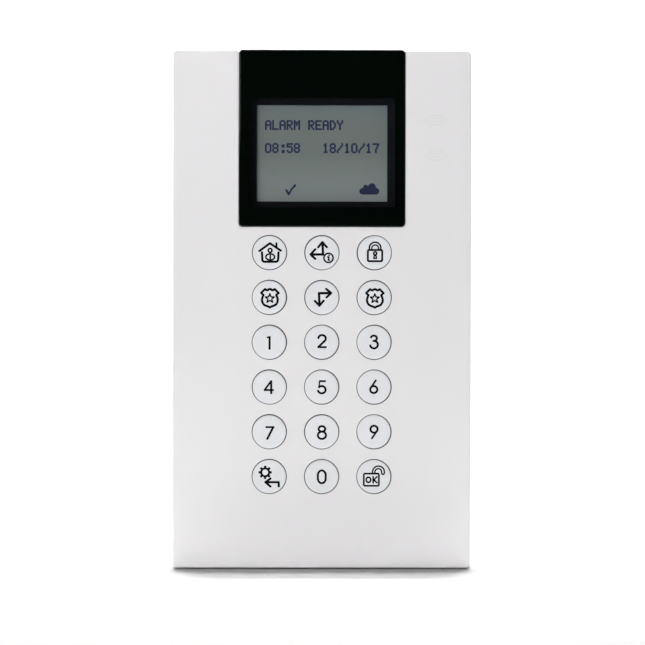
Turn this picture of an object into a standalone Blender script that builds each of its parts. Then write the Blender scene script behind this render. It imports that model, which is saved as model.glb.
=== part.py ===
"""Wall-mounted alarm keypad: a slim white case with a black display lens and eighteen round keys.

Metres, +Z up. The front faces -Y and the wall is the plane y = 0. The origin is the centre of the
wall bracket's rear face. A depth in this file is a distance out from the wall, so depth d is y = -d.
The case hangs on the bracket's hooks, slides up to come off, and is held down by one screw from below.
"""

import math

import bmesh
import bpy
from mathutils import Matrix

MM = 0.001
GAP = 0.3 * MM                      # between pieces that touch
TINY = 0.01 * MM

# Case: a front cover and a rear housing that meet at the parting line
CASE_WIDTH = 86.5 * MM
CASE_HEIGHT = 150.0 * MM
CASE_DEPTH = 18.0 * MM
CASE_CORNER = 1.2 * MM
FRONT_EDGE = 0.35 * MM
PARTING_DEPTH = 9.0 * MM
SIDE_WALL = 1.8 * MM
END_WALL = 2.0 * MM
FRONT_WALL = 2.0 * MM
SKIRT_DEPTH = 0.4 * MM              # the housing's rim stops just short of the wall
BACK_WALL = (2.4 * MM, 3.9 * MM)    # depths of the housing's back wall
HALF_WIDTH = CASE_WIDTH / 2
HALF_HEIGHT = CASE_HEIGHT / 2
INNER_X = HALF_WIDTH - SIDE_WALL
INNER_Z = HALF_HEIGHT - END_WALL
FACE_BACK = CASE_DEPTH - FRONT_WALL

# Wall bracket and its hooks
BRACKET_THICKNESS = 2.0 * MM
BRACKET_INSET = 2.3 * MM
LIFT = 5.0 * MM                     # how far the case slides up to leave the hooks
LIFT_ROOM = LIFT + 0.4 * MM
SKIRT_WALL = 1.6 * MM
BRACKET_BOTTOM = -HALF_HEIGHT + SKIRT_WALL + LIFT_ROOM + 0.5 * MM
BRACKET_TOP = HALF_HEIGHT - BRACKET_INSET
BRACKET_X = HALF_WIDTH - BRACKET_INSET
HOOK_X = 26.0 * MM
HOOK_ROWS = (50.0 * MM, -44.0 * MM)  # undersides of the hooks' stems
HOOK_HALF_WIDTH = 4.0 * MM
HOOK_STEM = 2.0 * MM
HOOK_LIP = 4.0 * MM
HOOK_LIP_THICKNESS = 1.4 * MM
WALL_SCREW_SLOTS = ((-30.0 * MM, 62.0 * MM), (30.0 * MM, 62.0 * MM),
                    (-30.0 * MM, -55.0 * MM), (30.0 * MM, -55.0 * MM))
WALL_SCREW_SLOT = (8.0 * MM, 3.8 * MM)
CABLE_X = 16.0 * MM
CABLE_Z = (22.0 * MM, 46.0 * MM)

# Display: lens, its recess in the cover, and the liquid-crystal module behind it
LENS_HALF_WIDTH = 24.1 * MM
LENS_BOTTOM = 24.0 * MM
LENS_TOP = HALF_HEIGHT + 0.3 * MM
LENS_THICKNESS = 1.6 * MM
LENS_FRONT = CASE_DEPTH + 0.4 * MM
LENS_BACK = LENS_FRONT - LENS_THICKNESS
LIP_THICKNESS = 1.2 * MM
LIP_DEPTH = 10.0 * MM
LENS_CORNER = 1.1 * MM
LENS_CLEARANCE = 0.15 * MM
RECESS_FLOOR = LENS_BACK - 0.4 * MM
RECESS_PAD = 1.4 * MM
WINDOW_Z = 45.5 * MM
WINDOW_HALF = (21.6 * MM, 16.2 * MM)
GLASS_Z = 45.4 * MM
VIEW_HALF = (19.0 * MM, 14.0 * MM)
MODULE_HALF = (23.0 * MM, 17.8 * MM)
MODULE_FRONT = 14.7 * MM
MODULE_SHEET = 0.6 * MM
PANE_HALF = (21.6 * MM, 16.4 * MM)
STRIP_HEIGHT = 2.0 * MM

# Keys: three columns and six rows of round caps
KEY_NAMES = (("home", "info", "arm"),
             ("emergency_left", "scroll", "emergency_right"),
             ("1", "2", "3"),
             ("4", "5", "6"),
             ("7", "8", "9"),
             ("menu", "0", "ok"))
KEY_PITCH_X = 15.2 * MM
KEY_PITCH_Z = 13.0 * MM
TOP_ROW_Z = 16.5 * MM
KEY_RADIUS = 4.87 * MM
KEY_HOLE_RADIUS = 5.12 * MM
KEY_FLANGE_RADIUS = 5.9 * MM
KEY_PROUD = 0.25 * MM
KEY_BOTTOM = 13.7 * MM
KEY_FLANGE_FRONT = FACE_BACK - 0.4 * MM

# Circuit board and what it carries
BOARD_DEPTHS = (8.4 * MM, 10.0 * MM)
BOARD_X = 39.5 * MM
BOARD_Z = (-62.0 * MM, 64.5 * MM)
BOARD_SCREWS = ((-34.0 * MM, 58.0 * MM), (34.0 * MM, 12.0 * MM),
                (-34.0 * MM, -56.0 * MM), (34.0 * MM, -56.0 * MM))
HOUSING_SCREWS = ((-37.2 * MM, 69.3 * MM), (37.2 * MM, 69.3 * MM),
                  (-37.2 * MM, -68.3 * MM), (37.2 * MM, -68.3 * MM))
PILLAR_RADIUS = 2.9 * MM
BOSS_RADIUS = 2.5 * MM
TERMINAL_WAYS = 4
TERMINAL_PITCH = 4.4 * MM
TERMINAL_Z = (35.0 * MM, 43.0 * MM)

# Tamper plunger, which feels the wall through the bracket
TAMPER = (-14.0 * MM, -30.0 * MM)
PLUNGER_RADIUS = 1.4 * MM
PLUNGER_TIP = 0.1 * MM
PLUNGER_COLLAR = (4.2 * MM, 5.2 * MM)
SWITCH_DEPTHS = (6.9 * MM, 8.1 * MM)

# Locking screw, straight up through the bottom of the housing into the bracket's tab
LOCK_DEPTH = 6.0 * MM
LOCK_HEAD_RADIUS = 2.4 * MM
LOCK_HEAD_BOTTOM = -HALF_HEIGHT + 0.4 * MM
LOCK_HEAD = 1.7 * MM
LOCK_RADIUS = 1.45 * MM
LOCK_LENGTH = 12.0 * MM
LOCK_BLOCK_TOP = -70.6 * MM
LOCK_TRAVEL = 2.0 * MM
WASHER_THICKNESS = 0.5 * MM
WASHER_BOTTOM = LOCK_BLOCK_TOP + GAP + LOCK_TRAVEL
TAB_BOTTOM = WASHER_BOTTOM + WASHER_THICKNESS + LIFT_ROOM
TAB_THICKNESS = 2.4 * MM
TAB_HALF_WIDTH = 4.0 * MM
TAB_FRONT = BOARD_DEPTHS[0] - 0.6 * MM

ROUND_STEPS = 24
SMALL_STEPS = 12

WHITE = (0.80, 0.79, 0.80)
BLACK = (0.004, 0.005, 0.006)
STEEL = (0.55, 0.55, 0.57)


# ---------------------------------------------------------------- scene and materials

def clear_scene():
    for old in list(bpy.data.objects):
        bpy.data.objects.remove(old, do_unlink=True)


def collection(name):
    made = bpy.data.collections.new(name)
    bpy.context.scene.collection.children.link(made)
    return made


def material(name, colour, roughness, metallic=0.0):
    made = bpy.data.materials.new(name)
    made.use_nodes = True
    shader = made.node_tree.nodes["Principled BSDF"]
    shader.inputs["Base Color"].default_value = (*colour, 1.0)
    shader.inputs["Roughness"].default_value = roughness
    shader.inputs["Metallic"].default_value = metallic
    made.diffuse_color = (*colour, 1.0)
    return made


def add_part(name, mesh, colour, roughness, metallic=0.0):
    """A sub-part of the keypad, in its own material."""
    part = bpy.data.objects.new(name, mesh)
    mesh.materials.append(material(name, colour, roughness, metallic))
    PARTS.objects.link(part)
    return part


def add_tool(name, mesh):
    """A body that only cuts or joins, and isn't part of the keypad."""
    tool = bpy.data.objects.new(name, mesh)
    tool.hide_render = True
    tool.display_type = "WIRE"
    TOOLS.objects.link(tool)
    return tool


def apply_boolean(part, tool_mesh, operation):
    tool = add_tool(f"{part.name}_{operation.lower()}_{len(part.modifiers)}", tool_mesh)
    step = part.modifiers.new(operation.title(), "BOOLEAN")
    step.operation = operation
    step.solver = "EXACT"
    step.object = tool


def cut(part, tool_mesh):
    apply_boolean(part, tool_mesh, "DIFFERENCE")


def join(part, tool_mesh):
    apply_boolean(part, tool_mesh, "UNION")


# ---------------------------------------------------------------- shapes

def to_mesh(bm, name):
    mesh = bpy.data.meshes.new(name)
    bm.to_mesh(mesh)
    bm.free()
    return mesh


def round_edges(bm, edges, radius, segments):
    bmesh.ops.bevel(bm, geom=edges, offset=radius, segments=segments, profile=0.5, affect="EDGES")


def add_box(bm, x, depth, z):
    """A box between the limits x, depth and z."""
    verts = bmesh.ops.create_cube(bm, size=1.0)["verts"]
    size = (x[1] - x[0], depth[1] - depth[0], z[1] - z[0])
    centre = ((x[0] + x[1]) / 2, -(depth[0] + depth[1]) / 2, (z[0] + z[1]) / 2)
    bmesh.ops.scale(bm, vec=size, verts=verts)
    bmesh.ops.translate(bm, vec=centre, verts=verts)


def box(x, depth, z, corner=0.0, front_edge=0.0):
    """One box, with its front-to-back corners and its front edge rounded if asked."""
    bm = bmesh.new()
    add_box(bm, x, depth, z)
    if corner:
        upright = [e for e in bm.edges if abs(e.verts[0].co.y - e.verts[1].co.y) > TINY]
        round_edges(bm, upright, corner, 4)
    if front_edge:
        front = [e for e in bm.edges if all(abs(v.co.y + depth[1]) < TINY for v in e.verts)]
        round_edges(bm, front, front_edge, 3)
    return to_mesh(bm, "box")


def boxes(limits):
    """Several boxes in one mesh, each given as its x, depth and z limits."""
    bm = bmesh.new()
    for x, depth, z in limits:
        add_box(bm, x, depth, z)
    return to_mesh(bm, "boxes")


def centred(middle, half):
    return (middle - half, middle + half)


def frame_box(half, middle_z, depth, corner=0.0):
    return box((-half[0], half[0]), depth, centred(middle_z, half[1]), corner)


def pegs(centres, depth, back_radius, front_radius=None, steps=SMALL_STEPS):
    """Round pegs or cones along the depth, one at each centre (x, z), in one mesh."""
    bm = bmesh.new()
    length = depth[1] - depth[0]
    for x, z in centres:
        place = Matrix.Translation((x, -(depth[0] + depth[1]) / 2, z)) @ Matrix.Rotation(math.pi / 2, 4, "X")
        bmesh.ops.create_cone(bm, cap_ends=True, segments=steps, radius1=back_radius,
                              radius2=back_radius if front_radius is None else front_radius,
                              depth=length, matrix=place)
    return to_mesh(bm, "pegs")


def upright_peg(centre, z, radius, steps=SMALL_STEPS):
    """A round peg along Z at the centre (x, depth)."""
    bm = bmesh.new()
    place = Matrix.Translation((centre[0], -centre[1], (z[0] + z[1]) / 2))
    bmesh.ops.create_cone(bm, cap_ends=True, segments=steps, radius1=radius, radius2=radius,
                          depth=z[1] - z[0], matrix=place)
    return to_mesh(bm, "peg")


def turned_mesh(profile, ring=False):
    """The half outline of a turned piece: (radius, height) pairs, down its outer side.

    The outline of a ring closes on itself instead of starting and ending on the axis.
    """
    bm = bmesh.new()
    verts = [bm.verts.new((radius, 0.0, height)) for radius, height in profile]
    for upper, lower in zip(verts, verts[1:] + verts[:1] if ring else verts[1:]):
        bm.edges.new((upper, lower))
    return to_mesh(bm, "profile")


def turn(part, steps, location, tilt=0.0):
    """Spins a part's outline about its own Z axis, which tilt turns towards the front or back."""
    screw = part.modifiers.new("Screw", "SCREW")
    screw.steps = steps
    screw.render_steps = steps
    screw.use_merge_vertices = True
    screw.merge_threshold = TINY
    screw.use_smooth_shade = True
    part.location = location
    part.rotation_euler = (tilt, 0.0, 0.0)


TO_FRONT = math.pi / 2
TO_BACK = -math.pi / 2


# ---------------------------------------------------------------- case

def key_centres():
    """The name and centre (x, z) of every key, row by row from the top left."""
    for row, names in enumerate(KEY_NAMES):
        for column, name in enumerate(names):
            yield name, ((column - 1) * KEY_PITCH_X, TOP_ROW_Z - row * KEY_PITCH_Z)


def make_front_cover():
    cover = add_part("front_cover",
                     box((-HALF_WIDTH, HALF_WIDTH), (PARTING_DEPTH, CASE_DEPTH),
                         (-HALF_HEIGHT, HALF_HEIGHT), CASE_CORNER, FRONT_EDGE), WHITE, 0.25)
    below = PARTING_DEPTH - 1 * MM
    cut(cover, box((-INNER_X, INNER_X), (below, FACE_BACK), (-INNER_Z, INNER_Z)))
    pad = LENS_HALF_WIDTH + 1.9 * MM
    join(cover, box((-pad, pad), (RECESS_FLOOR - RECESS_PAD, FACE_BACK + TINY),
                    (LENS_BOTTOM - 1.2 * MM, INNER_Z + TINY)))
    join(cover, pegs(HOUSING_SCREWS, (BOARD_DEPTHS[1] + GAP, FACE_BACK + 0.5 * MM), PILLAR_RADIUS))
    join(cover, pegs(BOARD_SCREWS, (BOARD_DEPTHS[1] + GAP, FACE_BACK + 0.5 * MM), BOSS_RADIUS))
    cut_lens_recess(cover)
    cut(cover, frame_box(WINDOW_HALF, WINDOW_Z, (below, CASE_DEPTH), 0.5 * MM))
    centres = [centre for _, centre in key_centres()]
    cut(cover, pegs(centres, (FACE_BACK - 1 * MM, CASE_DEPTH + 1 * MM), KEY_HOLE_RADIUS, steps=ROUND_STEPS))
    cut(cover, pegs(HOUSING_SCREWS, (below, FACE_BACK - 0.8 * MM), 1.5 * MM))
    cut(cover, pegs(BOARD_SCREWS, (below, FACE_BACK - 1 * MM), 1.3 * MM))


def cut_lens_recess(cover):
    """The recess that the lens lies in, and the notch where it wraps over the top edge."""
    side = LENS_HALF_WIDTH + LENS_CLEARANCE
    beyond = 2 * MM
    top = HALF_HEIGHT + beyond
    cut(cover, box((-side, side), (RECESS_FLOOR, CASE_DEPTH + beyond), (LENS_BOTTOM - LENS_CLEARANCE, top)))
    lip_bottom = LENS_TOP - LIP_THICKNESS - LENS_CLEARANCE
    cut(cover, box((-side, side), (LIP_DEPTH - LENS_CLEARANCE, CASE_DEPTH + beyond), (lip_bottom, top)))


def make_rear_housing():
    front = PARTING_DEPTH - 0.15 * MM
    beyond = 1 * MM
    housing = add_part("rear_housing",
                       box((-HALF_WIDTH, HALF_WIDTH), (SKIRT_DEPTH, front),
                           (-HALF_HEIGHT, HALF_HEIGHT), CASE_CORNER), WHITE, 0.45)
    cut(housing, box((-INNER_X, INNER_X), (BACK_WALL[1], front + beyond), (-INNER_Z, INNER_Z)))
    cut(housing, box((SKIRT_WALL - HALF_WIDTH, HALF_WIDTH - SKIRT_WALL), (-beyond, BACK_WALL[0]),
                     (SKIRT_WALL - HALF_HEIGHT, HALF_HEIGHT - SKIRT_WALL)))
    join(housing, pegs(HOUSING_SCREWS, (BACK_WALL[1] - 0.5 * MM, BOARD_DEPTHS[1]), PILLAR_RADIUS))
    join(housing, box((-4 * MM, 4 * MM), (BACK_WALL[0] + 0.5 * MM, front),
                      (-HALF_HEIGHT + 0.5 * MM, LOCK_BLOCK_TOP)))
    cut(housing, pegs(HOUSING_SCREWS, (-beyond, BOARD_DEPTHS[1] + beyond), 1.5 * MM))
    cut(housing, pegs(HOUSING_SCREWS, (BACK_WALL[0] - 0.1 * MM, 3.9 * MM), 2.75 * MM, 1.45 * MM))
    cut(housing, boxes(hook_openings() + [((-CABLE_X + beyond, CABLE_X - beyond), (0, BACK_WALL[1] + beyond),
                                          (CABLE_Z[0] + 0.5 * MM, CABLE_Z[1] - 0.5 * MM))]))
    cut(housing, pegs([TAMPER], (0, BACK_WALL[1] + beyond), PLUNGER_RADIUS + 0.35 * MM))
    shank = (-HALF_HEIGHT - beyond, LOCK_BLOCK_TOP + beyond)
    cut(housing, upright_peg((0, LOCK_DEPTH), shank, LOCK_RADIUS + GAP))
    recess = (-HALF_HEIGHT - beyond, LOCK_HEAD_BOTTOM + LOCK_HEAD + GAP)
    cut(housing, upright_peg((0, LOCK_DEPTH), recess, LOCK_HEAD_RADIUS + GAP, ROUND_STEPS))


def hook_openings():
    """Openings in the housing's back wall: one for each hook, and one for the screw tab."""
    through = (0, BACK_WALL[1] + 1 * MM)
    half = HOOK_HALF_WIDTH + 0.5 * MM
    limits = [(centred(side * HOOK_X, half), through, (z - LIFT_ROOM, z + HOOK_STEM + GAP))
              for z in HOOK_ROWS for side in (-1, 1)]
    limits.append((centred(0, TAB_HALF_WIDTH + 0.4 * MM), through,
                   (LOCK_BLOCK_TOP + 0.2 * MM, TAB_BOTTOM + TAB_THICKNESS + GAP)))
    return limits


def make_wall_bracket():
    bracket = add_part("wall_bracket", box((-BRACKET_X, BRACKET_X), (0, BRACKET_THICKNESS),
                                           (BRACKET_BOTTOM, BRACKET_TOP), 3 * MM), WHITE, 0.5)
    rooted = 0.5 * MM
    stem_front = BACK_WALL[1] + GAP + HOOK_LIP_THICKNESS
    for z in HOOK_ROWS:
        for side in (-1, 1):
            across = centred(side * HOOK_X, HOOK_HALF_WIDTH)
            join(bracket, box(across, (BRACKET_THICKNESS - rooted, stem_front), (z, z + HOOK_STEM)))
            join(bracket, box(across, (BACK_WALL[1] + GAP, stem_front), (z + rooted, z + HOOK_STEM + HOOK_LIP)))
    tab = (-TAB_HALF_WIDTH, TAB_HALF_WIDTH)
    join(bracket, box(tab, (BRACKET_THICKNESS - rooted, TAB_FRONT), (TAB_BOTTOM, TAB_BOTTOM + TAB_THICKNESS)))
    through = (-1 * MM, BRACKET_THICKNESS + 1 * MM)
    cut(bracket, box((-CABLE_X, CABLE_X), through, CABLE_Z, 2 * MM))
    for slot in WALL_SCREW_SLOTS:
        cut(bracket, box(centred(slot[0], WALL_SCREW_SLOT[0] / 2), through,
                         centred(slot[1], WALL_SCREW_SLOT[1] / 2), WALL_SCREW_SLOT[1] / 2 - TINY))
    room = PLUNGER_RADIUS + 0.6 * MM
    cut(bracket, box(centred(TAMPER[0], room), through, (TAMPER[1] - room, TAMPER[1] + room + LIFT)))
    cut(bracket, upright_peg((0, LOCK_DEPTH), (TAB_BOTTOM - 1 * MM, TAB_BOTTOM + TAB_THICKNESS + 1 * MM),
                             LOCK_RADIUS + 0.25 * MM))


# ---------------------------------------------------------------- display

def make_lens():
    """One clear moulding: a plate over the display and a lip over the case's top edge."""
    across = (-LENS_HALF_WIDTH, LENS_HALF_WIDTH)
    lens = add_part("display_lens", box(across, (LENS_BACK, LENS_FRONT), (LENS_BOTTOM, LENS_TOP),
                                        LENS_CORNER, 0.25 * MM), BLACK, 0.08)
    under = LENS_TOP - LIP_THICKNESS
    shoulder = LENS_CORNER + TINY
    join(lens, box((across[0] + shoulder, across[1] - shoulder),
                   (LIP_DEPTH, LENS_BACK + 0.5 * MM), (under, LENS_TOP - TINY)))
    frame = add_part("lens_adhesive", frame_box((LENS_HALF_WIDTH - 0.5 * MM, 24 * MM), 49.2 * MM,
                                                (RECESS_FLOOR + 0.1 * MM, LENS_BACK - 0.1 * MM)), BLACK, 0.7)
    cut(frame, frame_box(WINDOW_HALF, WINDOW_Z, (RECESS_FLOOR - 1 * MM, LENS_BACK + 1 * MM)))


def make_lcd_module():
    base = BOARD_DEPTHS[1] + GAP
    bezel = add_part("lcd_bezel", frame_box(MODULE_HALF, GLASS_Z, (base, MODULE_FRONT), 0.6 * MM), BLACK, 0.5)
    inner = (MODULE_HALF[0] - MODULE_SHEET, MODULE_HALF[1] - MODULE_SHEET)
    cut(bezel, frame_box(inner, GLASS_Z, (base - 1 * MM, MODULE_FRONT - MODULE_SHEET)))
    cut(bezel, frame_box(VIEW_HALF, GLASS_Z, (base, MODULE_FRONT + 1 * MM)))
    add_part("lcd_glass", frame_box(PANE_HALF, GLASS_Z, (12.3 * MM, MODULE_FRONT - MODULE_SHEET - 0.2 * MM)),
             (0.16, 0.19, 0.18), 0.2)
    guide_bottom = GLASS_Z - PANE_HALF[1] + STRIP_HEIGHT + GAP
    add_part("lcd_light_guide", box((-PANE_HALF[0], PANE_HALF[0]), (10.5 * MM, 12.0 * MM),
                                    (guide_bottom, GLASS_Z + PANE_HALF[1])), (0.75, 0.78, 0.80), 0.4)
    add_part("lcd_contact_strip", box((-20 * MM, 20 * MM), (base - 0.1 * MM, 12.1 * MM),
                                      (GLASS_Z - PANE_HALF[1], GLASS_Z - PANE_HALF[1] + STRIP_HEIGHT)),
             (0.05, 0.05, 0.05), 0.8)


# ---------------------------------------------------------------- keys

def make_keys():
    """A cap with a flange that the cover holds in, on a rubber dome that returns it."""
    top = CASE_DEPTH + KEY_PROUD - KEY_BOTTOM
    flange = KEY_FLANGE_FRONT - KEY_BOTTOM
    profile = turned_mesh([(0, top), (KEY_RADIUS - 0.2 * MM, top), (KEY_RADIUS, top - 0.2 * MM),
                           (KEY_RADIUS, flange), (KEY_FLANGE_RADIUS, flange), (KEY_FLANGE_RADIUS, 0), (0, 0)])
    for name, (x, z) in key_centres():
        key = add_part(f"key_{name}", profile.copy(), WHITE, 0.3)
        turn(key, ROUND_STEPS, (x, -KEY_BOTTOM, z), TO_FRONT)


def make_keymat():
    base = BOARD_DEPTHS[1] + GAP
    bottom = TOP_ROW_Z - 5.6 * KEY_PITCH_Z
    mat = add_part("keymat", box((-23 * MM, 23 * MM), (base, base + 0.9 * MM), (bottom, 24.0 * MM), 2 * MM),
                   (0.62, 0.63, 0.65), 0.7)
    centres = [centre for _, centre in key_centres()]
    join(mat, pegs(centres, (base + 0.5 * MM, KEY_BOTTOM - GAP), 4.4 * MM, 3.0 * MM))


# ---------------------------------------------------------------- electronics

def make_board():
    board = add_part("main_board", box((-BOARD_X, BOARD_X), BOARD_DEPTHS, BOARD_Z, 1.5 * MM),
                     (0.02, 0.12, 0.05), 0.5)
    cut(board, pegs(BOARD_SCREWS, (BOARD_DEPTHS[0] - 1 * MM, BOARD_DEPTHS[1] + 1 * MM), 1.4 * MM))


def make_antenna():
    """The proximity reader's flat coil, beside the display."""
    x, z = 33.2 * MM, 46.0 * MM
    base = BOARD_DEPTHS[1] + GAP
    coil = add_part("proximity_antenna", box(centred(x, 5.5 * MM), (base, base + 1 * MM),
                                             centred(z, 20 * MM), 3 * MM), (0.45, 0.16, 0.06), 0.35, 0.8)
    cut(coil, box(centred(x, 3.9 * MM), (base - 1 * MM, base + 2 * MM), centred(z, 18.4 * MM), 2 * MM))


def make_buzzer():
    height, radius, hole = 4.0 * MM, 5.5 * MM, 1.0 * MM
    profile = [(0, height - hole), (hole, height - hole), (hole, height), (radius, height), (radius, 0), (0, 0)]
    buzzer = add_part("buzzer", turned_mesh(profile), (0.02, 0.02, 0.02), 0.5)
    turn(buzzer, ROUND_STEPS, (-33 * MM, -(BOARD_DEPTHS[1] + GAP), 36 * MM), TO_FRONT)


def make_microcontroller():
    half = 5.0 * MM
    add_part("microcontroller", box((-half - 4 * MM, half - 4 * MM), (6.7 * MM, BOARD_DEPTHS[0] - GAP),
                                    (0, 2 * half)), (0.03, 0.03, 0.03), 0.6)


def make_bus_terminal():
    """Four screw clamps for the bus cable, reached through the opening in the housing."""
    half = TERMINAL_WAYS * TERMINAL_PITCH / 2 + 0.6 * MM
    depths = (3.0 * MM, BOARD_DEPTHS[0] - GAP)
    terminal = add_part("bus_terminal", box((-half, half), depths, TERMINAL_Z), (0.03, 0.16, 0.07), 0.5)
    ways = [(way - (TERMINAL_WAYS - 1) / 2) * TERMINAL_PITCH for way in range(TERMINAL_WAYS)]
    entry = 1.4 * MM
    cut(terminal, boxes([(centred(x, entry), centred(5.4 * MM, entry),
                          (TERMINAL_Z[0] - 1 * MM, TERMINAL_Z[0] + 3.5 * MM)) for x in ways]))
    cut(terminal, pegs([(x, 39.8 * MM) for x in ways], (2 * MM, 3.6 * MM), 1.4 * MM))


# ---------------------------------------------------------------- tamper

def make_tamper():
    add_part("tamper_switch", box(centred(TAMPER[0], 3 * MM), SWITCH_DEPTHS, centred(TAMPER[1], 3 * MM)),
             (0.05, 0.05, 0.05), 0.5)
    back = -PLUNGER_TIP
    rim = 0.4 * MM
    collar = 2.3 * MM
    profile = [(0, back), (PLUNGER_RADIUS - rim, back), (PLUNGER_RADIUS, back - rim),
               (PLUNGER_RADIUS, -PLUNGER_COLLAR[0]), (collar, -PLUNGER_COLLAR[0]),
               (collar, -PLUNGER_COLLAR[1]), (0, -PLUNGER_COLLAR[1])]
    plunger = add_part("tamper_plunger", turned_mesh(profile), (0.6, 0.6, 0.6), 0.4)
    turn(plunger, ROUND_STEPS, (TAMPER[0], 0, TAMPER[1]), TO_BACK)
    make_tamper_spring()


def make_tamper_spring():
    """A short coil between the plunger's collar and the switch."""
    wire, radius, turns, steps = 0.15 * MM, 1.7 * MM, 2, 14
    low = PLUNGER_COLLAR[1] + 0.1 * MM + wire
    high = SWITCH_DEPTHS[0] - 0.1 * MM - wire
    data = bpy.data.curves.new("spring", "CURVE")
    data.dimensions = "3D"
    data.bevel_depth = wire
    data.bevel_resolution = 2
    data.use_fill_caps = True
    spline = data.splines.new("POLY")
    count = turns * steps + 1
    spline.points.add(count - 1)
    for index, point in enumerate(spline.points):
        angle = 2 * math.pi * index / steps
        depth = low + (high - low) * index / (count - 1)
        point.co = (radius * math.cos(angle), -depth, radius * math.sin(angle), 1.0)
    guide = bpy.data.objects.new("spring_guide", data)
    TOOLS.objects.link(guide)
    bpy.context.view_layer.update()
    mesh = bpy.data.meshes.new_from_object(guide.evaluated_get(bpy.context.evaluated_depsgraph_get()))
    bpy.data.objects.remove(guide, do_unlink=True)
    bm = bmesh.new()
    bm.from_mesh(mesh)
    bmesh.ops.remove_doubles(bm, verts=bm.verts, dist=0.001 * MM)
    bm.to_mesh(mesh)
    bm.free()
    spring = add_part("tamper_spring", mesh, STEEL, 0.3, 1.0)
    spring.location = (TAMPER[0], 0, TAMPER[1])


# ---------------------------------------------------------------- fasteners

def make_housing_screws():
    """Countersunk screws that join the housing to the cover."""
    head, shank, cone, length = 2.3 * MM, 1.2 * MM, 1.3 * MM, 12.0 * MM
    profile = turned_mesh([(0, 0), (head, 0), (head, -0.2 * MM), (shank, -cone),
                           (shank, -length + 0.8 * MM), (0.4 * MM, -length), (0, -length)])
    for number, (x, z) in enumerate(HOUSING_SCREWS, 1):
        screw = add_part(f"housing_screw_{number}", profile.copy(), STEEL, 0.3, 1.0)
        turn(screw, SMALL_STEPS, (x, -(BACK_WALL[0] + 0.1 * MM), z), TO_BACK)


def make_board_screws():
    """Pan-head screws that hold the board to the cover's bosses."""
    head, shank, height, length = 2.1 * MM, 1.0 * MM, 1.2 * MM, 6.0 * MM
    profile = turned_mesh([(0, height), (head - 0.4 * MM, height), (head, height - 0.5 * MM), (head, 0),
                           (shank, 0), (shank, -length), (0, -length)])
    for number, (x, z) in enumerate(BOARD_SCREWS, 1):
        screw = add_part(f"board_screw_{number}", profile.copy(), STEEL, 0.3, 1.0)
        turn(screw, SMALL_STEPS, (x, -(BOARD_DEPTHS[0] - 0.2 * MM), z), TO_BACK)


def make_locking_screw():
    """The screw from below, and the washer that keeps it in the housing when it is undone."""
    under = LOCK_HEAD
    profile = [(0, under + LOCK_LENGTH), (LOCK_RADIUS - 0.5 * MM, under + LOCK_LENGTH),
               (LOCK_RADIUS, under + LOCK_LENGTH - 0.6 * MM), (LOCK_RADIUS, under),
               (LOCK_HEAD_RADIUS, under), (LOCK_HEAD_RADIUS, 0.3 * MM),
               (LOCK_HEAD_RADIUS - 0.3 * MM, 0), (0, 0)]
    screw = add_part("locking_screw", turned_mesh(profile), STEEL, 0.3, 1.0)
    turn(screw, ROUND_STEPS, (0, -LOCK_DEPTH, LOCK_HEAD_BOTTOM))
    inner, outer = LOCK_RADIUS + 0.15 * MM, 2.6 * MM
    ring = [(inner, WASHER_THICKNESS), (outer, WASHER_THICKNESS), (outer, 0), (inner, 0)]
    washer = add_part("captive_washer", turned_mesh(ring, ring=True), (0.05, 0.05, 0.05), 0.6)
    turn(washer, ROUND_STEPS, (0, -LOCK_DEPTH, WASHER_BOTTOM))


clear_scene()
PARTS = collection("alarm_keypad")
TOOLS = collection("cutters")
make_front_cover()
make_rear_housing()
make_wall_bracket()
make_lens()
make_lcd_module()
make_keys()
make_keymat()
make_board()
make_antenna()
make_buzzer()
make_microcontroller()
make_bus_terminal()
make_tamper()
make_housing_screws()
make_board_screws()
make_locking_screw()
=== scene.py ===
"""Looks of the alarm keypad: detailed pieces, materials, studio and camera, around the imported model.

Metres, +Z up. The keypad's front faces -Y. Drawings on the keys and the display are in millimetres.
"""

import math

import bmesh
import bpy
from mathutils import Matrix, Vector
from mathutils.geometry import delaunay_2d_cdt


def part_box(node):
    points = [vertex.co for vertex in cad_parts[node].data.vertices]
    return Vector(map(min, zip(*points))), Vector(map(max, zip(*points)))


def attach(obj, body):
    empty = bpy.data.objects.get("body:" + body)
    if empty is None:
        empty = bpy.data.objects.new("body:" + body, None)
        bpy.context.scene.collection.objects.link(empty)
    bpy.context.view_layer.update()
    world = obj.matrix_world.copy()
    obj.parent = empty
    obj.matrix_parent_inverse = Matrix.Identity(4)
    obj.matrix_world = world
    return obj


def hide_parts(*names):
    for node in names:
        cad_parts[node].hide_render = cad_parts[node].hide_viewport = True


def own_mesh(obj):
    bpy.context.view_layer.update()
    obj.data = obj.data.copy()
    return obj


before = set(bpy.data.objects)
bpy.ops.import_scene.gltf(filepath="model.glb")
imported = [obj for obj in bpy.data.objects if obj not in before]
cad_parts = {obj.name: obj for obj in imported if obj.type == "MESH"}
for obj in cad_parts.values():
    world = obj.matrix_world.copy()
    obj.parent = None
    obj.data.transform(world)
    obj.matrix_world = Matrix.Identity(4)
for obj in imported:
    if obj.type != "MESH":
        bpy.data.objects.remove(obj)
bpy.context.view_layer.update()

MM = 0.001
TINY = 0.01 * MM
ROUND = 96                              # steps in a full circle
SHARP_EDGE = math.radians(30)           # edges sharper than this are rounded
SMOOTH_UP_TO = math.radians(35)         # edges up to this are shaded smooth

KEY_LEGENDS = ("home", "info", "arm", "emergency_left", "scroll", "emergency_right", "1", "2", "3",
               "4", "5", "6", "7", "8", "9", "menu", "0", "ok")


# ---------------------------------------------------------------- mesh tools

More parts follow.
